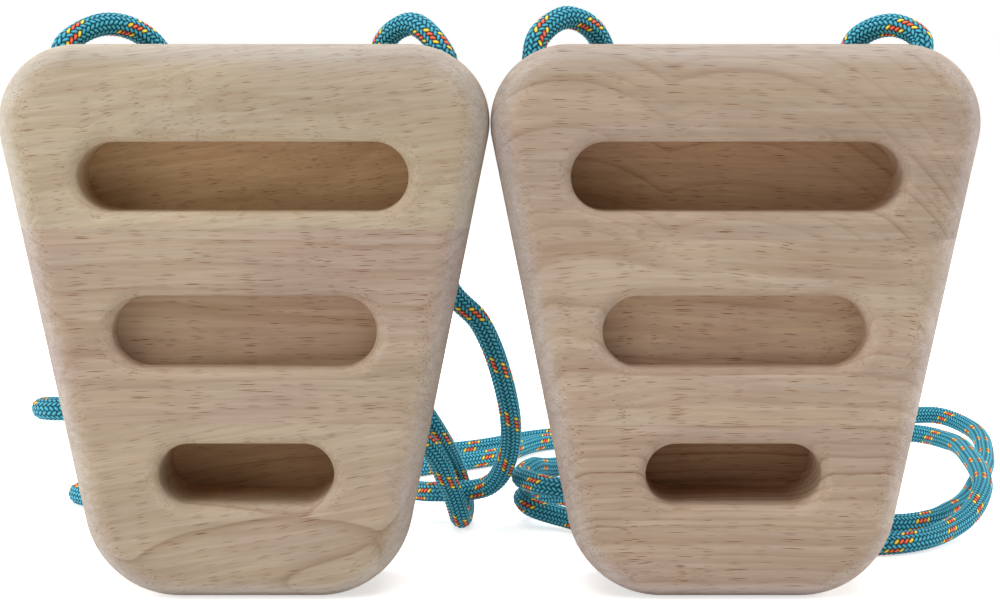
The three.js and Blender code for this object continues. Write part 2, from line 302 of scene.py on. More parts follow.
def knot_route(cord_end, hole_x, turning):
    """Points from the cord's end down the hole, then some turns up a helix round the way down.

    A point of the helix is (r cos(angle), r sin(angle), bottom + rise). Turning is 1 or -1, the hand it has.
    """
    leg = [(0, 0, 0.164), (0, 0, 0.16), (0, 0, 0.1565), (0.0005, 0.0002, 0.154)]
    bend = [(0.0028, 0.001, knot_bottom), (0.0054, 0.003, knot_bottom)]
    angle = np.radians(np.arange(60, 60 + 360 * knot_turns, 30))
    coil = np.stack([
        knot_cord_diameter * np.cos(angle),
        knot_cord_diameter * np.sin(angle),
        coil_bottom + knot_cord_diameter * (angle - angle[0]) / (2 * math.pi),
    ], axis=1)
    points = np.vstack([leg, bend, coil])
    points[:, 0] *= turning
    return np.vstack([cord_end, points + [hole_x, hole_y, 0]])


holes = {
    "left_cord_outer_knot": (left_route[0], -outer_hole_x, 1),
    "left_cord_inner_knot": (left_route[-1], -inner_hole_x, -1),
    "right_cord_inner_knot": (right_route[0], inner_hole_x, 1),
    "right_cord_outer_knot": (right_route[-1], outer_hole_x, -1),
}
knots = {}
knot_ring_spacing = math.pi * knot_cord_diameter / tube_sides
for node_name, (cord_end, hole_x, turning) in holes.items():
    line, length = smooth_line(knot_route(cord_end, hole_x, turning), knot_ring_spacing)
    travelled = np.linspace(0, length, len(line))
    thickness = np.interp(travelled, [0, knot_taper], [cord_diameter, knot_cord_diameter])
    knots[node_name] = tube(node_name + "_turns", line, thickness)
    print(node_name, "takes", round(length * 1000), "mm of cord")

# %% [markdown]
# Now the cords take their places. Each replaces its plain tube in the frame, rides on its board and carries
# its two knots.

# %% The cords and knots take their places
for cord_piece, side, hole_x, line in (
    (left_cord, "left", -outer_hole_x, left_line),
    (right_cord, "right", outer_hole_x, right_line[::-1]),
):
    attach(cord_piece, f"{side}_board")
    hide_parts(f"{side}_cord")
    for node_name in (f"{side}_cord_outer_knot", f"{side}_cord_inner_knot"):
        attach(knots[node_name], f"{side}_board")
        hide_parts(node_name)
    print("The", side, "cord is declared with its two knots")

# %% [markdown]
# ## The wooden blocks
# A board is glued up from three strips of rubberwood, sawn to its tapered outline, rounded over at the front
# with a router and then pocketed with one. The frame's strips are already that shape, but they are cut a
# little coarsely for a close look at the roundings. So each board is made again here, in the same order as in
# the workshop and much finer: outline, rounding, pockets, holes, and the strips last.
#
# The outline is a chain of four arcs joined by their common tangents. Drawn in by a distance it keeps its
# shape, because only the arcs' radii change. The rounded block is then a stack of such outlines, drawn in by
# less and less from the front face back, as the router's bit goes round. The top edge, where a hand comes to
# rest, is eased further down the face than the others.

# %% The board's measures
upper_low, upper_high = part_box("left_board_upper_strip")
board_width = upper_high.x - upper_low.x
board_height = upper_high.z
board_front = upper_low.y
board_back = upper_high.y
board_thickness = board_back - board_front
foot_width = 0.0992
top_corner = 0.026
bottom_corner = 0.032
front_rounding = 0.011
top_easing = 0.5
back_rounding = 0.0035
foot_steps, top_steps, pocket_steps, mouth_steps = 24, 28, 40, 12
hole_sides, recess_sides = 64, 96
sharp_edge = math.radians(35)
print(f"A board is {board_width:.3f} m wide, {board_height:.3f} m high and {board_thickness:.3f} m thick")


# %% The board's outline
def arc(centre_x, centre_z, radius, start, stop, steps):
    """Points (x + r cos(angle), z + r sin(angle)) for angles from start to stop."""
    angle = np.linspace(start, stop, steps + 1)
    return np.stack([centre_x + radius * np.cos(angle), centre_z + radius * np.sin(angle)], axis=1)


def with_left_half(right_half):
    """A right half outline followed by its mirror image, so that the whole runs counter-clockwise."""
    return np.vstack([right_half, (right_half * [-1, 1])[::-1]])


top_x = board_width / 2 - top_corner
top_z = board_height - top_corner
overhang = top_x - foot_width / 2
slope = (overhang * top_z + top_corner * math.sqrt(top_z ** 2 + overhang ** 2 - top_corner ** 2)) / (
    top_z ** 2 - top_corner ** 2)
lean = math.atan(slope)
bottom_x = foot_width / 2 + slope * bottom_corner - bottom_corner / math.cos(lean)


def board_outline(inset, easing):
    """The board seen from the front, drawn in by an inset: a foot corner's arc, then a top corner's.

    Over the top corners' height the outline is also lowered, up to easing * inset at the top edge, because
    the router's bit has been run over that edge at a slant.
    """
    bottom = arc(bottom_x, bottom_corner, bottom_corner - inset, -math.pi / 2, -lean, foot_steps)
    top = arc(top_x, top_z, top_corner - inset, -lean, math.pi / 2, top_steps)
    outline = with_left_half(np.vstack([bottom, top]))
    share = np.clip((outline[:, 1] - top_z) / top_corner, 0, 1)
    outline[:, 1] -= easing * inset * share
    return outline


print(f"The sides lean out by {math.degrees(lean):.1f} degrees")


# %% A solid from a stack of outlines
def stacked(name, outlines, depths):
    """A closed mesh skinned over outlines (n, 2), each at its own depth y, with flat ends."""
    flat = np.stack(outlines)
    y = np.broadcast_to(np.array(depths)[:, None], flat.shape[:2])
    points = np.stack([flat[..., 0], y, flat[..., 1]], axis=-1)
    count = len(outlines[0])
    last = (len(outlines) - 1) * count
    caps = [list(range(count)), [last + i for i in range(count)][::-1]]
    faces = skin(len(outlines), count)[2][:, [0, 3, 2, 1]]
    return new_piece(name, points, faces.tolist() + caps)


quarter = np.linspace(0, math.pi / 2, 17)
front_rings = [board_outline(front_rounding * (1 - math.sin(a)), top_easing) for a in quarter]
front_depths = [board_front + front_rounding * (1 - math.cos(a)) for a in quarter]
eased = np.linspace(0, math.pi / 2, 7)
back_rings = [board_outline(back_rounding * (1 - math.cos(a)), 0) for a in eased]
back_depths = [board_back - back_rounding * (1 - math.sin(a)) for a in eased]
block = stacked("block", front_rings + back_rings, front_depths + back_depths)
print("The uncut block has", len(block.data.polygons), "faces")

# %% [markdown]
# ## What the router and the drill take away
# A pocket is a bar with half-round ends, cut straight in to a flat floor, with its mouth rounded over so that
# the fingers find no edge. The cutter's shape is again a stack of outlines. The cord's hole and the knot's
# recess are turned shapes: a profile of radii and heights carried round an axis.

# %% The pockets
pockets = [
    {"length": 0.109, "height": 0.023, "depth": 0.024, "middle": 0.1415},
    {"length": 0.0875, "height": 0.024, "depth": 0.013, "middle": 0.0902},
    {"length": 0.0585, "height": 0.0205, "depth": 0.036, "middle": 0.0425},
]
mouth_rounding = 0.005
overrun = 0.005


def pocket_outline(pocket, margin):
    """A bar with half-round ends, let out by a margin all round."""
    radius = pocket["height"] / 2
    end_x = pocket["length"] / 2 - radius
    right_end = arc(end_x, pocket["middle"], radius + margin, -math.pi / 2, math.pi / 2, pocket_steps)
    return with_left_half(right_end)


def pocket_cutter(pocket):
    """Outlines from in front of the board, round the mouth's quarter circle, to the floor."""
    outlines = [pocket_outline(pocket, mouth_rounding)]
    outlines += [pocket_outline(pocket, mouth_rounding * (1 - math.sin(a))) for a in quarter]
    outlines += [pocket_outline(pocket, 0)]
    depths = [board_front - overrun]
    depths += [board_front + mouth_rounding * (1 - math.cos(a)) for a in quarter]
    depths += [board_front + pocket["depth"]]
    return stacked("pocket", outlines, depths)


cutters = [pocket_cutter(pocket) for pocket in pockets]
print("The pockets are", [round(pocket["depth"] * 1000) for pocket in pockets], "mm deep")


# %% The cord holes and the knots' recesses
def turned(name, profile, sides, swap_to_y, offset):
    """A closed mesh of a profile of (radius, height) points turned round an axis, the poles closed.

    A point is (r cos(angle), r sin(angle), height), laid down along Y where swap_to_y is set.
    """
    profile = np.array(profile)
    inner = profile[1:-1]
    angle = np.linspace(0, 2 * math.pi, sides, endpoint=False)[None, :]
    rings = np.stack([
        inner[:, :1] * np.cos(angle),
        inner[:, :1] * np.sin(angle),
        np.broadcast_to(inner[:, 1:], (len(inner), sides)),
    ], axis=-1).reshape(-1, 3)
    points = np.vstack([rings, [[0, 0, profile[0, 1]], [0, 0, profile[-1, 1]]]])
    if swap_to_y:
        points = np.stack([points[:, 0], points[:, 2], -points[:, 1]], axis=1)
    faces = skin(len(inner), sides)[2].tolist()
    first, last = len(rings), len(rings) + 1
    top = (len(inner) - 1) * sides
    faces += [[first, (i + 1) % sides, i] for i in range(sides)]
    faces += [[last, top + i, top + (i + 1) % sides] for i in range(sides)]
    return new_piece(name, points + offset, faces)


hole_radius = 0.005
hole_rounding = 0.005
hole_from_the_side = 0.0146
hole_offset = board_width / 2 - hole_from_the_side
knot_below_the_top = 0.0256
knot_height = board_height - knot_below_the_top
recess_radius = 0.0103
recess_depth = 0.0238
recess_edge_break = 0.0007
past_corner = hole_offset - top_x
mouth_height = top_z + math.sqrt(top_corner ** 2 - past_corner ** 2)
arc_x = hole_radius + hole_rounding
arc_z = mouth_height - hole_rounding
mouth = arc(arc_x, arc_z, hole_rounding, math.pi, 0.75 * math.pi, mouth_steps)
rise = mouth_height + hole_rounding + overrun - mouth[-1, 1]
hole_profile = [(0, knot_height), (hole_radius, knot_height), *mouth.tolist(),
                (mouth[-1, 0] + rise, mouth[-1, 1] + rise), (0, mouth[-1, 1] + rise)]
recess_profile = [(0, -recess_depth), (recess_radius, -recess_depth), (recess_radius, -recess_edge_break),
                  (recess_radius + recess_edge_break + overrun, overrun), (0, overrun)]
for x in (-hole_offset, hole_offset):
    cutters.append(turned("cord_hole", hole_profile, hole_sides, False, (x, hole_y, 0)))
    cutters.append(turned("knot_recess", recess_profile, recess_sides, True, (x, board_back, knot_height)))
print("There are", len(cutters), "cutters for one board")

# %% [markdown]
# ## Cutting
# Blender's Boolean modifier does what the tools do. The whole block is cut first. Then, for each board, it is
# divided at its two glue lines, because every strip is its own piece of timber with its own grain.


# %% Cutting the block
def cut(piece, tools, operation):
    """The mesh of a piece after Boolean cuts with other objects, worked out by the exact solver."""
    for each in [piece, *tools]:
        scene_objects.link(each)
    for tool in tools:
        step = piece.modifiers.new("cut", "BOOLEAN")
        step.operation = operation
        step.solver = "EXACT"
        step.object = tool
    done = bpy.data.meshes.new_from_object(piece.evaluated_get(bpy.context.evaluated_depsgraph_get()))
    for each in [piece, *tools]:
        scene_objects.unlink(each)
    piece.modifiers.clear()
    return done


pocketed = bpy.data.objects.new("pocketed_block", cut(block, cutters, "DIFFERENCE"))
print("The block with its pockets and holes has", len(pocketed.data.polygons), "faces")

# %% [markdown]
# The wood is painted browner and darker the deeper it lies in a pocket: painted shade, warmed like light
# bounced off wood. So that the material can follow, every point of a strip carries its depth in a pocket as
# an attribute.

# %% How deep a point lies in a pocket
full_darkness = 0.026
rounding_error = 0.0002


def pocket_depth(places, centre_x):
    """How deep each point (n, 3) lies in a pocket: 0 at its lip and outside, 1 at full darkness.

    A point is in a pocket if its distance to the pocket's middle line, hypot(max(|x| - half, 0), z - middle),
    is no more than the mouth's reach. The share is (y - front) / depth of full darkness.
    """
    inside = np.zeros(len(places), dtype=bool)
    for pocket in pockets:
        half = (pocket["length"] - pocket["height"]) / 2
        reach = pocket["height"] / 2 + mouth_rounding + rounding_error
        beyond = np.maximum(np.abs(places[:, 0] - centre_x) - half, 0)
        inside |= np.hypot(beyond, places[:, 2] - pocket["middle"]) < reach
    inside &= places[:, 1] < board_back - overrun
    return np.where(inside, np.clip((places[:, 1] - board_front) / full_darkness, 0, 1), 0)


def points_of(mesh):
    """All of a mesh's points as an array (n, 3)."""
    flat = np.empty(3 * len(mesh.vertices))
    mesh.vertices.foreach_get("co", flat)
    return flat.reshape(-1, 3)


in_pockets = pocket_depth(points_of(pocketed.data), 0) > 0
print(np.count_nonzero(in_pockets), "of the block's", len(in_pockets), "points lie in a pocket")


# %% Dividing it into strips
def slab(low, high, centre_x):
    """A box as wide and deep as a board, between two heights."""
    x = np.array([-1, 1, 1, -1, -1, 1, 1, -1]) * (board_width / 2 + overrun) + centre_x
    y = np.array([-1, -1, 1, 1, -1, -1, 1, 1]) * (board_back + overrun)
    z = np.repeat([low, high], 4)
    faces = [[3, 2, 1, 0], [4, 5, 6, 7], [0, 1, 5, 4], [1, 2, 6, 5], [2, 3, 7, 6], [3, 0, 4, 7]]
    return new_piece("slab", np.stack([x, y, z], axis=1), faces)


strips = {}
for side in ("left", "right"):
    low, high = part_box(f"{side}_board_upper_strip")
    centre_x = (low.x + high.x) / 2
    moved = pocketed.data.copy()
    moved.vertices.foreach_set("co", (points_of(moved) + [centre_x, 0, 0]).ravel())
    whole = bpy.data.objects.new(f"{side}_block", moved)
    for place in ("upper", "middle", "lower"):
        node_name = f"{side}_board_{place}_strip"
        low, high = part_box(node_name)
        bottom = low.z if place != "lower" else low.z - overrun
        top = high.z if place != "upper" else high.z + overrun
        mesh = cut(whole, [slab(bottom, top, centre_x)], "INTERSECT")
        mesh.name = node_name
        depth_layer = mesh.attributes.new("pocket depth", "FLOAT", "POINT")
        depth_layer.data.foreach_set("value", pocket_depth(points_of(mesh), centre_x))
        mesh.shade_smooth()
        mesh.set_sharp_from_angle(angle=sharp_edge)
        strip = bpy.data.objects.new(f"{side}_{place}_timber", mesh)
        scene_objects.link(strip)
        weighted = strip.modifiers.new("flat faces shade flat", "WEIGHTED_NORMAL")
        weighted.keep_sharp = True
        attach(strip, f"{side}_board")
        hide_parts(node_name)
        strips[side, place] = strip
        print(strip.name, "has", len(mesh.polygons), "faces")

# %% [markdown]
# ## Building materials from nodes
# A material is a small network: every node turns numbers into other numbers for the point being shaded. The
# helpers below add a node and fill its inputs, either with plain values or with other nodes' outputs. They
# also name what is done again and again, so that each line of the next cells reads like a formula.


# %% Helpers for node networks
def fill(tree, sockets, values):
    """Fills inputs by name or number, each with a plain value or with another node's output."""
    for key, value in dict(values).items():
        if isinstance(value, bpy.types.NodeSocket):
            tree.links.new(value, sockets[key])
        else:
            sockets[key].default_value = value


def add(tree, kind, inputs=(), **settings):
    """A new node, with its settings made and its inputs filled."""
    made = tree.nodes.new(kind)
    for key, value in settings.items():
        setattr(made, key, value)
    fill(tree, made.inputs, inputs)
    return made


def math_node(tree, operation, *values):
    """The result of a Math node on one to three numbers or sockets."""
    return add(tree, "ShaderNodeMath", enumerate(values), operation=operation).outputs[0]


def product(tree, first, *others):
    """Numbers or sockets multiplied with each other."""
    for other in others:
        first = math_node(tree, "MULTIPLY", first, other)
    return first


def vector_node(tree, operation, *values):
    """The result of a Vector Math node on two vectors, colours or sockets."""
    return add(tree, "ShaderNodeVectorMath", enumerate(values), operation=operation).outputs[0]


def scaled(tree, vector, factor):
    """A vector or colour times a number."""
    return add(tree, "ShaderNodeVectorMath", {0: vector, "Scale": factor}, operation="SCALE").outputs[0]


def mixed(tree, share, first, second):
    """A colour between two, by a share from 0 to 1."""
    return add(tree, "ShaderNodeMix", {0: share, 6: first, 7: second}, data_type="RGBA").outputs[2]


def ramp(tree, value, start, stop, low, high, way="SMOOTHSTEP"):
    """Low until a value reaches start, high once it has reached stop, and a smooth or linear way between."""
    return add(tree, "ShaderNodeMapRange", {
        "Value": value, "From Min": start, "From Max": stop, "To Min": low, "To Max": high,
    }, interpolation_type=way).outputs[0]


print("The helpers for nodes are ready")

# %% [markdown]
# Two things are done for both the wood and the braid. The pattern is a group with named inputs and three
# outputs: a colour, a roughness and a height. And a material's shader takes these three from the group.


# %% Groups, materials and colours
def new_group(name, inputs):
    """An empty group, its inputs and its outputs: a colour, a roughness and a height.

    An input is given by its default value, which is one number, three for a vector or four for a colour.
    """
    kinds = {1: "NodeSocketFloat", 3: "NodeSocketVector", 4: "NodeSocketColor"}
    tree = bpy.data.node_groups.new(name, "ShaderNodeTree")
    for key, value in inputs.items():
        socket = tree.interface.new_socket(key, in_out="INPUT", socket_type=kinds[np.size(value)])
        socket.default_value = value
    for key, count in {"Color": 4, "Roughness": 1, "Height": 1}.items():
        tree.interface.new_socket(key, in_out="OUTPUT", socket_type=kinds[count])
    return tree, tree.nodes.new("NodeGroupInput").outputs, tree.nodes.new("NodeGroupOutput").inputs


def new_material(name):
    """A material and its node tree."""
    material = bpy.data.materials.new(name)
    material.use_nodes = True
    return material, material.node_tree


def show(tree, pattern, specular, bump_strength, bump_height):
    """Gives a material's shader the colour, the roughness and the height of a group node."""
    bump = add(tree, "ShaderNodeBump", {
        "Strength": bump_strength, "Distance": bump_height, "Height": pattern.outputs["Height"]})
    fill(tree, tree.nodes["Principled BSDF"].inputs, {
        "Base Color": pattern.outputs["Color"], "Roughness": pattern.outputs["Roughness"],
        "Normal": bump.outputs[0], "Specular IOR Level": specular})


def srgb(red, green, blue):
    """A colour given as on a screen, 0 to 255, as the linear values that Blender's shaders count in."""
    values = np.array([red, green, blue]) / 255
    linear = np.where(values <= 0.04045, values / 12.92, ((values + 0.055) / 1.055) ** 2.4)
    return (*linear.tolist(), 1.0)


print("A mid grey of 128 is", round(srgb(128, 128, 128)[0], 3), "in linear light")

# %% [markdown]
# ## Rubberwood
# Rubberwood is pale, straw to pinkish, with faint growth rings and many short dark pores, which are the
# wood's vessels cut lengthwise. A picture of wood wrapped round the block would betray itself at every
# rounding. So the wood is a solid: rings round a pith line that runs lengthwise somewhere inside or behind
# the strip, and pores that are long thin spindles along the same direction. Where a rounding cuts through,
# the rings turn into arches and the pores into dots by themselves.
#
# The network is a group, because all six strips share it. Each strip gives it its own pith, rings and
# colours, and leaves the other inputs at their default values.

# %% What the strips can set
wood, wood_in, wood_out = new_group("rubberwood", {
    "Vector": (0, 0, 0),
    "Ring Width": 0.006,
    "Waviness": 0.006,
    "First Arch": (0, 0, 0),
    "Second Arch": (0, -1, 0),
    "Ring Strength": 0.5,
    "Ring Sharpness": 5.0,
    "Ring Unevenness": 1.3,
    "Pocket Depth": 0.0,
    # Painted shade: how much browner and darker the wood is made at the bottom of a pocket.
    "Painted Pocket Shade": (1.15, 0.94, 0.72, 1.0),
    "Rounding Share": 0.0,
    # Partly the end grain's greyer colour, partly a painted sheen on the roundings.
    "Rounding Grain And Sheen Tint": (1.03, 1.13, 1.32, 1.0),
    "Pore Amount": 0.4,
    "Dash Amount": 0.1,
    "Pale Wood": srgb(180, 163, 139),
    "Blush": srgb(174, 154, 135),
    "Late Wood": srgb(150, 122, 95),
    "Pore Colour": srgb(112, 66, 40),
})
print("The rubberwood's inputs are", [socket.name for socket in wood_in if socket.name])

# %% [markdown]
# A tree's rings are never true circles. So the place is pushed about by a broad noise before its distance
# from the pith is measured. An arch is given as a place along the grain, a height and a fall, and bends the
# rings by height - fall (x - place)^2. The higher of two arches counts, so a height of -1 switches one off.
# Each ring builds up slowly to its dark late wood and then falls off at once.


# %% The growth rings
def squeezed(place, along, across):
    """A place with its measure along the grain and across it scaled, to feed a noise or a cell pattern."""
    return vector_node(wood, "MULTIPLY", place, (along, across, across))


drift = add(wood, "ShaderNodeTexNoise", {
    "Vector": squeezed(wood_in["Vector"], 9.0, 20.0), "Scale": 1.0, "Detail": 2.5, "Roughness": 0.45,
}).outputs["Color"]
push = scaled(wood, vector_node(wood, "SUBTRACT", drift, (0.5, 0.5, 0.5)), wood_in["Waviness"])
bent = vector_node(wood, "ADD", wood_in["Vector"], push)
across_pith = squeezed(bent, 0.0, 1.0)
from_pith = add(wood, "ShaderNodeVectorMath", {0: across_pith}, operation="LENGTH").outputs["Value"]
along_grain = add(wood, "ShaderNodeSeparateXYZ", {0: bent}).outputs[0]


def arch(input_name):
    """height - fall (x - place)^2, of an input that holds place, height and fall."""
    place, height, fall = add(wood, "ShaderNodeSeparateXYZ", {0: wood_in[input_name]}).outputs
    away = math_node(wood, "SUBTRACT", along_grain, place)
    return math_node(wood, "SUBTRACT", height, product(wood, away, away, fall))


both_arches = math_node(wood, "SMOOTH_MAX", arch("First Arch"), arch("Second Arch"), 0.004)
arched = math_node(wood, "ADD", from_pith, both_arches)
even_rings = math_node(wood, "DIVIDE", arched, wood_in["Ring Width"])
fat_and_lean_years = add(wood, "ShaderNodeTexNoise", {
    "W": product(wood, even_rings, 0.45), "Scale": 1.0, "Detail": 1.0}, noise_dimensions="1D").outputs[0]
rings = math_node(wood, "MULTIPLY_ADD", fat_and_lean_years, wood_in["Ring Unevenness"], even_rings)
phase = math_node(wood, "FRACT", rings)
ring_number = math_node(wood, "FLOOR", rings)
sharpness = wood_in["Ring Sharpness"]
building_up = math_node(wood, "POWER", phase, sharpness)
full_until = math_node(wood, "SUBTRACT", 1.0, math_node(wood, "DIVIDE", 0.5, sharpness))
falling_off = ramp(wood, phase, full_until, 1.0, 1.0, 0.0)
chance = add(wood, "ShaderNodeTexWhiteNoise", {"W": ring_number}, noise_dimensions="1D").outputs["Value"]
own_strength = math_node(wood, "MULTIPLY_ADD", chance, 0.8, 0.2)
ring_mask = product(wood, building_up, falling_off, own_strength)
print("The rings take", len(wood.nodes), "nodes so far")

# %% [markdown]
# The pores come next: Voronoi patterns whose cells are squeezed into needles along the grain, of which only
# some carry a pore. One pattern gives the fine pores that are everywhere, a coarser one the rarer long
# dashes, which come in patches.


# %% The pores
def pores(along, across, amount, inner, outer):
    """1 inside thin spindles along the bent grain, which lie in cells of 1 / along by 1 / across metres."""
    cells = add(wood, "ShaderNodeTexVoronoi", {
        "Vector": squeezed(bent, along, across), "Scale": 1.0, "Randomness": 1.0}).outputs
    lot = add(wood, "ShaderNodeSeparateColor", {0: cells["Color"]}).outputs[0]
    inside = ramp(wood, cells["Distance"], inner, outer, 1.0, 0.0)
    return product(wood, inside, math_node(wood, "LESS_THAN", lot, amount))


def noise(along, across, detail):
    """A noise between 0 and 1, squeezed along the bent grain."""
    return add(wood, "ShaderNodeTexNoise", {
        "Vector": squeezed(bent, along, across), "Scale": 1.0, "Detail": detail}).outputs[0]


patches = ramp(wood, noise(14.0, 60.0, 2.0), 0.42, 0.62, 0.25, 1.0)
fine_pores = pores(105.0, 2500.0, wood_in["Pore Amount"], 0.14, 0.36)
dashes = pores(55.0, 1750.0, product(wood, wood_in["Dash Amount"], patches), 0.12, 0.27)
pore_mask = math_node(wood, "MAXIMUM", product(wood, fine_pores, 0.65), product(wood, dashes, 0.95))
print("With the pores the group has", len(wood.nodes), "nodes")

# %% [markdown]
# Between the pores the wood is never of one colour. A fine noise along the grain gives the fibres, a longer
# one the streaks of warmer and cooler wood, and two broad ones make the strip uneven, in brightness and
# between a straw and a pinkish tone. The rings lie over that ground, faint in some places and clear in
# others. On the roundings the wood is tinted greyer and paler: partly the end grain, where the sander has
# gone across the fibres, and partly a painted sheen. Its rings are fainter there.

# %% The wood's colour
fibre = noise(45.0, 1300.0, 3.0)
streaks = noise(16.0, 420.0, 3.0)
tone = noise(8.0, 110.0, 2.0)
rounding = wood_in["Rounding Share"]
blush_share = ramp(wood, noise(10.0, 34.0, 3.0), 0.35, 0.65, 0.0, 1.0)
ground = mixed(wood, blush_share, wood_in["Pale Wood"], wood_in["Blush"])
fading = ramp(wood, noise(12.0, 26.0, 1.0), 0.33, 0.5, 0.4, 1.0)
on_flat = math_node(wood, "MULTIPLY_ADD", rounding, -0.65, 1.0)
ring_share = product(wood, ring_mask, fading, wood_in["Ring Strength"], on_flat)
with_rings = mixed(wood, ring_share, ground, wood_in["Late Wood"])
brightness = product(wood, math_node(wood, "MULTIPLY_ADD", fibre, 0.4, 0.8),
                     math_node(wood, "MULTIPLY_ADD", tone, 0.3, 0.85))
streak_share = ramp(wood, streaks, 0.3, 0.7, 0.0, 1.0)
# Painted shade, growing with the depth in a pocket.
painted_shade_share = ramp(wood, wood_in["Pocket Depth"], 0.12, 0.95, 0.0, 1.0, "LINEAR")
white = (1.0, 1.0, 1.0, 1.0)
shaded = scaled(wood, with_rings, brightness)
for tint in (
    mixed(wood, streak_share, (0.95, 0.92, 0.88, 1.0), (1.05, 1.06, 1.07, 1.0)),
    mixed(wood, painted_shade_share, white, wood_in["Painted Pocket Shade"]),
    # End grain and a painted sheen on the roundings.
    mixed(wood, rounding, white, wood_in["Rounding Grain And Sheen Tint"]),
):
    shaded = vector_node(wood, "MULTIPLY", shaded, tint)
fill(wood, wood_out, {
    "Color": mixed(wood, pore_mask, shaded, wood_in["Pore Colour"]),
    "Roughness": math_node(wood, "MULTIPLY_ADD", fibre, 0.16, 0.76),
    "Height": math_node(wood, "SUBTRACT", product(wood, fibre, 0.35), pore_mask),
})
print("The rubberwood group has", len(wood.nodes), "nodes")

# %% [markdown]
# The material places the group on a strip. It turns the strip's own coordinates so that X runs along the
# pith, and it finds the roundings from the surface itself: they face neither straight to the front or back
# nor to the side, and lie outside the pockets.


# %% A material for a strip
def wood_material(name, pith, tilt, look):
    """Rubberwood for one strip. Its pith line passes through a point, turned by degrees about X, Y and Z."""
    material, tree = new_material(name)
    coordinates = add(tree, "ShaderNodeTexCoord").outputs
    from_the_pith = add(tree, "ShaderNodeMapping", {
        "Vector": coordinates["Object"], "Location": pith,
        "Rotation": [math.radians(angle) for angle in tilt],
    }, vector_type="TEXTURE").outputs[0]
    depth = add(tree, "ShaderNodeAttribute", attribute_name="pocket depth").outputs["Fac"]
    normal_y = add(tree, "ShaderNodeSeparateXYZ", {0: coordinates["Normal"]}).outputs[1]
    facing_front = math_node(tree, "ABSOLUTE", normal_y)
    off_the_face = ramp(tree, facing_front, 0.995, 0.72, 0.0, 1.0)
    off_the_side = ramp(tree, facing_front, 0.0, 0.4, 0.25, 1.0)
    outside = ramp(tree, depth, 0.0, 0.03, 1.0, 0.0, "LINEAR")
    grain = add(tree, "ShaderNodeGroup", {
        "Vector": from_the_pith, "Pocket Depth": depth,
        "Rounding Share": product(tree, off_the_face, off_the_side, outside), **look,
    }, node_tree=wood)
    show(tree, grain, specular=0.15, bump_strength=0.25, bump_height=0.0002)
    return material


print("A strip's material is ready to be given a pith and a look")

# %% [markdown]
# The six strips differ. The right board's upper strip was cut close to where a branch left the trunk: its
# rings come in two arches that meet in a notch. The left board's lower strip is cut along the rings, so that
# one of them closes to an island above the foot. For each strip the table has a point on its pith, the pith's
# tilt in degrees, and what the strip sets in the group.


# %% The six timbers
def tones(pale, blush, late):
    """The three wood colours of a strip, each given as on a screen."""
    return {"Pale Wood": srgb(*pale), "Blush": srgb(*blush), "Late Wood": srgb(*late)}


timbers = {
    ("left", "upper"): ((-0.0812, 0.05, 0.148), (0, -7, 3), {
        "Ring Width": 0.0085, "Waviness": 0.012, "Ring Strength": 0.6, "Ring Sharpness": 5.0,
        "Dash Amount": 0.12,
        **tones((181, 165, 141), (177, 160, 140), (148, 123, 92))}),
    ("left", "middle"): ((-0.0812, 0.012, 0.088), (0, -1, 1), {
        "Ring Width": 0.0048, "Waviness": 0.008, "Ring Strength": 0.8, "Ring Sharpness": 6.0,
        "Dash Amount": 0.6,
        **tones((176, 158, 137), (172, 151, 135), (136, 107, 82))}),
    ("left", "lower"): ((-0.0768, -0.001, 0.018), (0, -10, 0), {
        "Ring Width": 0.0265, "Waviness": 0.008, "Ring Strength": 1.0, "Ring Sharpness": 55.0,
        "Ring Unevenness": 0.0, "First Arch": (0, 0, -1.45), "Pore Amount": 0.35, "Dash Amount": 0.15,
        **tones((178, 161, 139), (174, 155, 137), (118, 83, 56))}),
    ("right", "upper"): ((0.0812, 0.03, 0.245), (0, 1, -2), {
        "Ring Width": 0.0058, "Waviness": 0.006, "Ring Strength": 0.8, "Ring Sharpness": 3.5,
        "First Arch": (0.006, 0, 7.5), "Second Arch": (-0.052, 0.0062, 10.0), "Pore Amount": 0.35,
        **tones((173, 154, 134), (166, 146, 131), (130, 99, 76))}),
    ("right", "middle"): ((0.0812, 0.02, 0.12), (0, 1, -2), {
        "Ring Width": 0.0062, "Waviness": 0.018, "Ring Strength": 0.95, "Ring Sharpness": 4.0,
        "Dash Amount": 0.3,
        **tones((180, 161, 141), (175, 154, 138), (132, 101, 77))}),
    ("right", "lower"): ((0.0812, 0.03, 0.1), (0, -0.5, -1), {
        "Ring Width": 0.0031, "Waviness": 0.011, "Ring Strength": 1.15, "Ring Sharpness": 3.5,
        "Dash Amount": 0.4,
        **tones((178, 158, 138), (172, 150, 134), (116, 83, 57))}),
}
for (side, place), (pith, tilt, look) in timbers.items():
    strips[side, place].data.materials.append(wood_material(f"{side}_{place}_rubberwood", pith, tilt, look))
print("Six strips of rubberwood, each with its own pith")

# %% [markdown]
# ## The braid
# The cord's sheath is braided from 28 strands, half of them winding one way and half the other, each passing
# over two and under two. Seen close up this gives columns of small slanted ovals, leaning left in one column
# and right in the next. Four neighbouring strands of one direction are coloured yellow, red, red and yellow
# and draw a spiral of flecks.
#
# On the UV map the pattern is pure arithmetic. Let x count columns round the cord and y the same measure
# along it. Whole parts of x + y and x - y number the strands of the two directions, and the remainder of
# their sum by 4 says which of the two is on top.

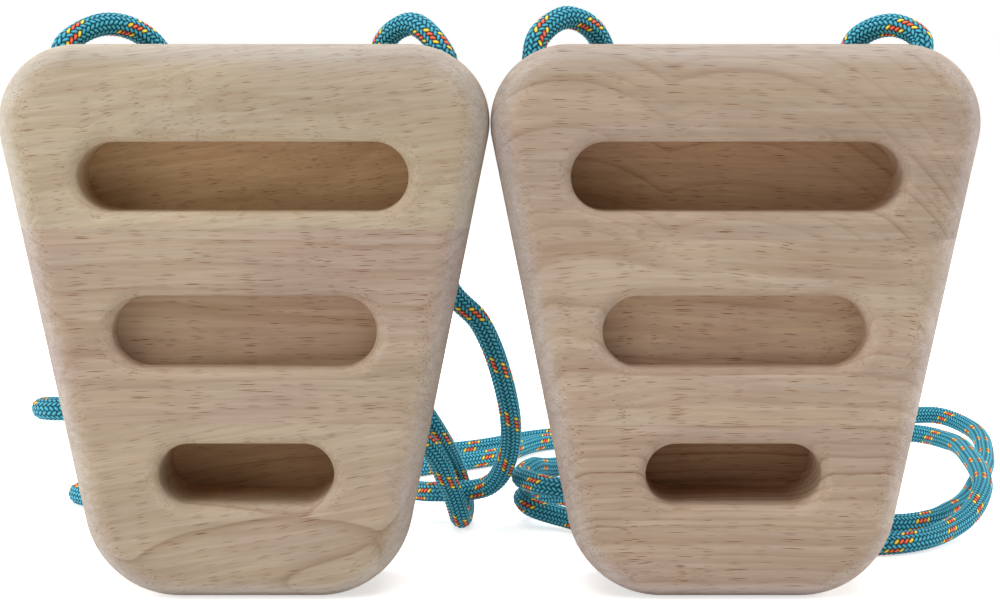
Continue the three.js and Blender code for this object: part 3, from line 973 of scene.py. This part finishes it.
# %% Which strand lies on top
braid, braid_in, braid_out = new_group("braided sheath", {
    "Vector": (0, 0, 0),
    "Ground": srgb(42, 156, 182),
    "Shade": srgb(4, 36, 50),
    # A painted sheen, added on the floats' crowns.
    "Painted Sheen": (0.1, 0.13, 0.13, 1.0),
    "Tracer Edge": srgb(242, 206, 36),
    "Tracer Middle": srgb(238, 82, 24),
})
map_place = add(braid, "ShaderNodeSeparateXYZ", {0: braid_in["Vector"]}).outputs
x = product(braid, map_place[0], float(braid_columns))
y = product(braid, map_place[1], float(braid_columns))
plus = math_node(braid, "ADD", x, y)
minus = math_node(braid, "SUBTRACT", x, y)
plus_strand = math_node(braid, "FLOOR", plus)
minus_strand = math_node(braid, "FLOOR", minus)
crossing = math_node(braid, "FLOORED_MODULO", math_node(braid, "ADD", plus_strand, minus_strand), 4.0)
plus_on_top = math_node(braid, "LESS_THAN", crossing, 1.5)
minus_on_top = math_node(braid, "SUBTRACT", 1.0, plus_on_top)
plus_rest = math_node(braid, "SUBTRACT", plus, plus_strand)
minus_rest = math_node(braid, "SUBTRACT", minus, minus_strand)


def of_the_top_strand(for_plus, for_minus):
    """The first value where a strand of the plus direction is on top, else the second."""
    return math_node(braid, "ADD", product(braid, for_plus, plus_on_top),
                     product(braid, for_minus, minus_on_top))


print("The braid's columns are", round(math.pi * cord_diameter / braid_columns * 1000, 2), "mm wide")

# %% [markdown]
# Where a strand is on top it shows as a float two crossings long. The remainders give the place on it, across
# from edge to edge, and along from where it comes up to where it dives under. A float is as high as a
# flattened dome over these two, and is made of fine filaments.

# %% The floats' shape
dome_power = 2.4
filaments_across, filaments_along, strand_offset = 9.0, 0.8, 3.7
along = of_the_top_strand(math_node(braid, "ADD", minus_rest, crossing),
                          math_node(braid, "ADD", plus_rest, math_node(braid, "SUBTRACT", crossing, 2.0)))
across_float = of_the_top_strand(plus_rest, minus_rest)
length_place = math_node(braid, "SUBTRACT", along, 1.0)
width_place = math_node(braid, "MULTIPLY_ADD", across_float, 2.0, -1.0)
length_part = math_node(braid, "POWER", math_node(braid, "ABSOLUTE", length_place), dome_power)
edge = math_node(braid, "ADD", product(braid, width_place, width_place), length_part)
on_crown = math_node(braid, "MAXIMUM", math_node(braid, "SUBTRACT", 1.0, edge), 0.0)
dome = math_node(braid, "SQRT", on_crown)
filament_place = add(braid, "ShaderNodeCombineXYZ", {
    0: product(braid, across_float, filaments_across),
    1: product(braid, along, filaments_along),
    2: math_node(braid, "ADD", product(braid, plus_strand, strand_offset), minus_strand),
}).outputs[0]
filament = add(braid, "ShaderNodeTexNoise", {
    "Vector": filament_place, "Scale": 1.0, "Detail": 1.0}).outputs[0]
print("The floats' shape takes", len(braid.nodes), "nodes")

# %% [markdown]
# Four strands that run side by side in one direction are the tracers. Every float gets a painted highlight on
# its crown and a painted silvery sheen, and painted shade in the gaps.

# %% The floats' colour
tracers = 4
tracer_number = math_node(braid, "FLOORED_MODULO", plus_strand, float(braid_columns))
is_tracer = product(braid, math_node(braid, "LESS_THAN", tracer_number, tracers - 0.5), plus_on_top)
from_middle = math_node(braid, "ABSOLUTE", math_node(braid, "SUBTRACT", tracer_number, (tracers - 1) / 2))
is_middle = math_node(braid, "LESS_THAN", from_middle, 1.0)
tracer = mixed(braid, is_middle, braid_in["Tracer Edge"], braid_in["Tracer Middle"])
dyed = mixed(braid, is_tracer, braid_in["Ground"], tracer)
# Painted highlight: each float paler towards its crown, times the filaments' own variation.
highlight_and_filaments = product(braid, math_node(braid, "MULTIPLY_ADD", on_crown, 0.85, 0.42),
                math_node(braid, "MULTIPLY_ADD", filament, 0.6, 0.7))
painted_sheen = scaled(braid, braid_in["Painted Sheen"], product(braid, on_crown, on_crown))
float_colour = vector_node(braid, "ADD", scaled(braid, dyed, highlight_and_filaments), painted_sheen)
# Painted shade in the gaps between the floats.
painted_gap_shade = ramp(braid, edge, 0.6, 1.2, 0.0, 0.9)
fill(braid, braid_out, {
    "Color": mixed(braid, painted_gap_shade, float_colour, braid_in["Shade"]),
    "Roughness": math_node(braid, "MULTIPLY_ADD", filament, 0.3, 0.35),
    "Height": math_node(braid, "MULTIPLY_ADD", filament, 0.12, dome),
})
print("The braid group has", len(braid.nodes), "nodes")

# %% The cords' material
cord_material, cord_tree = new_material("turquoise_braid")
braid_map = add(cord_tree, "ShaderNodeUVMap", uv_map="braid").outputs[0]
sheath = add(cord_tree, "ShaderNodeGroup", {"Vector": braid_map}, node_tree=braid)
show(cord_tree, sheath, specular=0.08, bump_strength=0.9, bump_height=0.0005)
for piece in (left_cord, right_cord, *knots.values()):
    piece.data.materials.append(cord_material)
print("Both cords and all four knots wear the braid")

# %% [markdown]
# ## Floor, background and light
# The boards stand in soft light that comes from above and from both sides and hardly from the front. So the
# lower lips of the pockets and the roundings at the top shine, and the pockets' backs stay in the shade. The
# world is white for the camera and for reflections only, and weaker as a light. The floor is white where it
# is far from the boards, so it has no horizon, and keeps their soft shadow near them.

# %% The floor
floor_reach = 4
floor = new_piece("floor", [(-floor_reach, -floor_reach, 0), (floor_reach, -floor_reach, 0),
                            (floor_reach, floor_reach, 0), (-floor_reach, floor_reach, 0)], [(0, 1, 2, 3)])
scene_objects.link(floor)
floor_material, floor_tree = new_material("white_floor")
floor_shader = floor_tree.nodes["Principled BSDF"]
fill(floor_tree, floor_shader.inputs, {
    "Base Color": (0.9, 0.9, 0.9, 1), "Roughness": 1, "Specular IOR Level": 0})


def seen_directly(tree):
    """1 where a ray comes from the camera, a reflection or through glass, else 0."""
    ray = add(tree, "ShaderNodeLightPath").outputs
    mirrored = math_node(tree, "MAXIMUM", ray["Is Glossy Ray"], ray["Is Transmission Ray"])
    return math_node(tree, "MAXIMUM", ray["Is Camera Ray"], mirrored)


floor_place = add(floor_tree, "ShaderNodeTexCoord").outputs["Object"]
distance = add(floor_tree, "ShaderNodeVectorMath", {0: floor_place}, operation="LENGTH").outputs["Value"]
white_for_camera = ramp(floor_tree, distance, 0.2, 0.7, 0.6, 1.0)
table_light = 0.1
from_camera = seen_directly(floor_tree)
glow = add(floor_tree, "ShaderNodeMix", {0: from_camera, 2: table_light, 3: white_for_camera}).outputs[0]
emission = add(floor_tree, "ShaderNodeEmission", {"Color": (1, 1, 1, 1), "Strength": glow})
both = add(floor_tree, "ShaderNodeAddShader", {0: floor_shader.outputs[0], 1: emission.outputs[0]})
fill(floor_tree, floor_tree.nodes["Material Output"].inputs, {"Surface": both.outputs[0]})
floor.data.materials.append(floor_material)
print("The floor is", 2 * floor_reach, "m square")

# %% The world and the lamps
bpy.context.scene.view_settings.view_transform = "Standard"
world = bpy.data.worlds.new("white room")
bpy.context.scene.world = world
world.use_nodes = True
room = world.node_tree
room_light = 0.1
fill(room, room.nodes["Background"].inputs, {
    "Color": (1, 1, 1, 1), "Strength": math_node(room, "MAXIMUM", seen_directly(room), room_light)})


def softbox(name, place, aim_height, size, watts):
    """A rectangular lamp that faces a point over the origin.

    Its local -Z axis runs from its place to there, by turns of 90 degrees + atan2(dz, hypot(dx, dy)) about X
    and atan2(dy, dx) - 90 degrees about Z.
    """
    data = bpy.data.lights.new(name, "AREA")
    data.shape = "RECTANGLE"
    data.size, data.size_y = size
    data.energy = watts
    lamp = bpy.data.objects.new(name, data)
    lamp.location = place
    dx, dy, dz = np.array([0, 0, aim_height]) - np.array(place)
    lamp.rotation_euler = (
        math.pi / 2 + math.atan2(dz, math.hypot(dx, dy)), 0, math.atan2(dy, dx) - math.pi / 2)
    scene_objects.link(lamp)


softbox("front softbox", (0, -0.75, 1.1), aim_height=0.1, size=(1.2, 0.6), watts=3)
softbox("top softbox", (0, -0.35, 1.25), aim_height=0.1, size=(1.4, 0.5), watts=11)
softbox("back softbox", (0, 0.6, 1.15), aim_height=0.1, size=(1.4, 0.5), watts=7.5)
softbox("left softbox", (-1.35, 0.15, 0.42), aim_height=0.08, size=(0.7, 0.7), watts=10.5)
softbox("right softbox", (1.35, 0.15, 0.42), aim_height=0.08, size=(0.7, 0.7), watts=9.5)
softbox("corner softbox", (-1.1, -0.9, 0.5), aim_height=0.08, size=(0.7, 0.7), watts=4.5)
print("Six softboxes, a glowing table and a white room light the boards")
